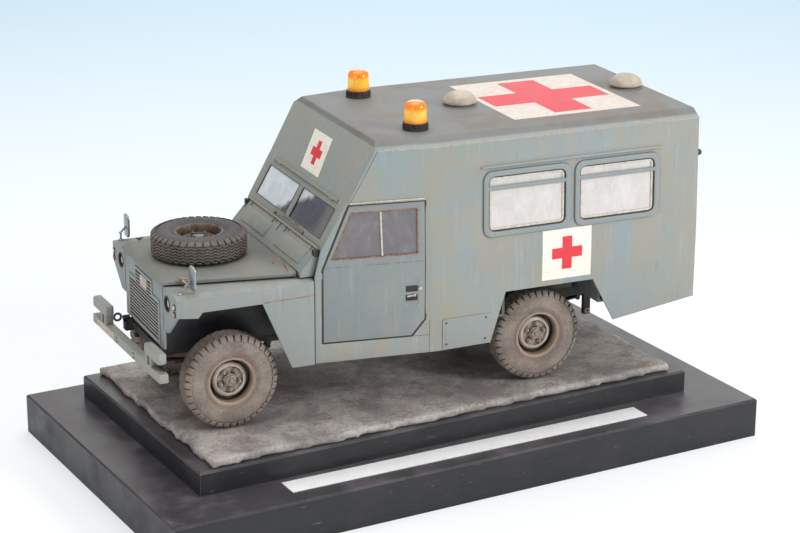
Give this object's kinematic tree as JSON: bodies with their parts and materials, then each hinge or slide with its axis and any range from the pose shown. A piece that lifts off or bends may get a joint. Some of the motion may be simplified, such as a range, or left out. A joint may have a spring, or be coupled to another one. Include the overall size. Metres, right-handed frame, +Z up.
{
  "type": "scale model military ambulance on plinth",
  "caption": "Display model of a field ambulance truck with opening doors, steering, bonnet-top spare wheel and red crosses, standing on a stepped wooden plinth.",
  "frame": {"origin": "middle of the plinth's underside", "axes": "+X toward the vehicle's front, +Y to the vehicle's left, +Z up"},
  "size_m": [0.2426, 0.153, 0.1314],
  "materials": {
    "black_board": "black paint, scuffed, semi-gloss",
    "ground": "grey-brown plaster ground, dead matt",
    "body_green": "matt grey-green paint, weathered",
    "roof_green": "matt grey-green paint with white field and red cross",
    "door_green": "matt grey-green paint, worn edges",
    "bonnet_green": "matt grey-green paint, ochre stains",
    "wing_green": "matt grey-green paint, rust along its edges",
    "screen_green": "matt grey-green paint",
    "grille_green": "matt grey-green paint, dark between the slats",
    "bumper_grey": "matt grey paint, worn",
    "window_frame": "matt grey-green paint, ochre worn",
    "frosted_pane": "frosted whitish pane",
    "clear_pane": "clear pane, dusty",
    "tyre_black": "dusty grey-brown black",
    "rim_brown": "rust-brown paint",
    "chassis_black": "matt black",
    "arch_black": "matt black",
    "engine_grey": "dull grey-green",
    "interior_green": "matt green",
    "seat_black": "satin black",
    "lamp_chrome": "dull silver bowl",
    "mirror_black": "matt black",
    "beacon_base_black": "satin black",
    "beacon_amber": "clear amber",
    "vent_beige": "pale beige grey",
    "tail_lamp_red": "dull red",
    "rust_pipe": "rusty brown"
  },
  "bodies": {
    "model": {"plinth_base": "black_board", "plinth_step": "black_board", "groundwork": "ground", "chassis_frame": "chassis_black", "front_bumper": "bumper_grey", "front_axle": "chassis_black", "rear_axle": "chassis_black", "engine_block": "engine_grey", "driveline": "engine_grey", "exhaust": "rust_pipe", "fuel_tank": "chassis_black", "body_floor": "interior_green", "windscreen_frame": "screen_green", "windscreen_glass": "clear_pane", "radiator_panel": "grille_green", "front_wings": "wing_green", "inner_arches": "arch_black", "headlamps": "lamp_chrome", "roof_shell": "roof_green", "rear_frame": "body_green", "tail_lamps": "tail_lamp_red", "side_window_frames": "window_frame", "side_window_glass": "frosted_pane", "cab_seats": "seat_black", "dashboard": "seat_black", "wing_mirrors": "mirror_black", "beacon_bases": "beacon_base_black", "beacon_lenses": "beacon_amber", "roof_vents": "vent_beige", "body_side_left": "body_green", "body_side_right": "body_green"},
    "bonnet": {"bonnet": "bonnet_green", "spare_tyre": "tyre_black", "spare_rim": "rim_brown"},
    "track_rod": {"track_rod": "chassis_black"},
    "knuckle_left": {"knuckle_left": "chassis_black"},
    "wheel_front_left": {"tyre_front_left": "tyre_black", "rim_front_left": "rim_brown"},
    "wheel_rear_left": {"tyre_rear_left": "tyre_black", "rim_rear_left": "rim_brown"},
    "front_door_left": {"front_door_left": "door_green", "front_door_glass_left": "clear_pane"},
    "rear_door_left": {"rear_door_left": "door_green", "rear_door_glass_left": "frosted_pane"},
    "knuckle_right": {"knuckle_right": "chassis_black"},
    "wheel_front_right": {"tyre_front_right": "tyre_black", "rim_front_right": "rim_brown"},
    "wheel_rear_right": {"tyre_rear_right": "tyre_black", "rim_rear_right": "rim_brown"},
    "front_door_right": {"front_door_right": "door_green", "front_door_glass_right": "clear_pane"},
    "rear_door_right": {"rear_door_right": "door_green", "rear_door_glass_right": "frosted_pane"}
  },
  "joints": [
    {"name": "steer_left", "type": "hinge", "parent": "model", "child": "knuckle_left", "pos_m": [0.0722, 0.0196, 0.0425], "axis": [0, 0, 1], "range_deg": [-20, 20]},
    {"name": "roll_front_left", "type": "hinge", "parent": "knuckle_left", "child": "wheel_front_left", "pos_m": [0.0722, 0.0272, 0.0425], "axis": [0, 1, 0], "continuous": true},
    {"name": "roll_rear_left", "type": "hinge", "parent": "model", "child": "wheel_rear_left", "pos_m": [-0.0432, 0.0272, 0.0425], "axis": [0, 1, 0], "continuous": true},
    {"name": "front_door_hinge_left", "type": "hinge", "parent": "model", "child": "front_door_left", "pos_m": [0.0409, 0.0355, 0.0679], "axis": [0, 0, -1], "range_deg": [0, 70]},
    {"name": "rear_door_hinge_left", "type": "hinge", "parent": "model", "child": "rear_door_left", "pos_m": [-0.101, 0.031, 0.0829], "axis": [0, 0, -1], "range_deg": [0, 100]},
    {"name": "steer_right", "type": "hinge", "parent": "model", "child": "knuckle_right", "pos_m": [0.0722, -0.0196, 0.0425], "axis": [0, 0, 1], "range_deg": [-20, 20]},
    {"name": "roll_front_right", "type": "hinge", "parent": "knuckle_right", "child": "wheel_front_right", "pos_m": [0.0722, -0.0272, 0.0425], "axis": [0, 1, 0], "continuous": true},
    {"name": "roll_rear_right", "type": "hinge", "parent": "model", "child": "wheel_rear_right", "pos_m": [-0.0432, -0.0272, 0.0425], "axis": [0, 1, 0], "continuous": true},
    {"name": "front_door_hinge_right", "type": "hinge", "parent": "model", "child": "front_door_right", "pos_m": [0.0409, -0.0355, 0.0679], "axis": [0, 0, 1], "range_deg": [0, 70]},
    {"name": "rear_door_hinge_right", "type": "hinge", "parent": "model", "child": "rear_door_right", "pos_m": [-0.101, -0.031, 0.0829], "axis": [0, 0, 1], "range_deg": [0, 100]},
    {"name": "bonnet_hinge", "type": "hinge", "parent": "model", "child": "bonnet", "pos_m": [0.049, 0, 0.0793], "axis": [0, -1, 0], "range_deg": [0, 55]},
    {"name": "track_rod_slide", "type": "slide", "parent": "model", "child": "track_rod", "axis": [0, 1, 0], "range_m": [-0.0026, 0.0026]}
  ],
  "couplings": [
    {"joint": "steer_right", "follows": "steer_left", "ratio": 1},
    {"joint": "track_rod_slide", "follows": "steer_left", "m_per_rad": -0.0074}
  ]
}
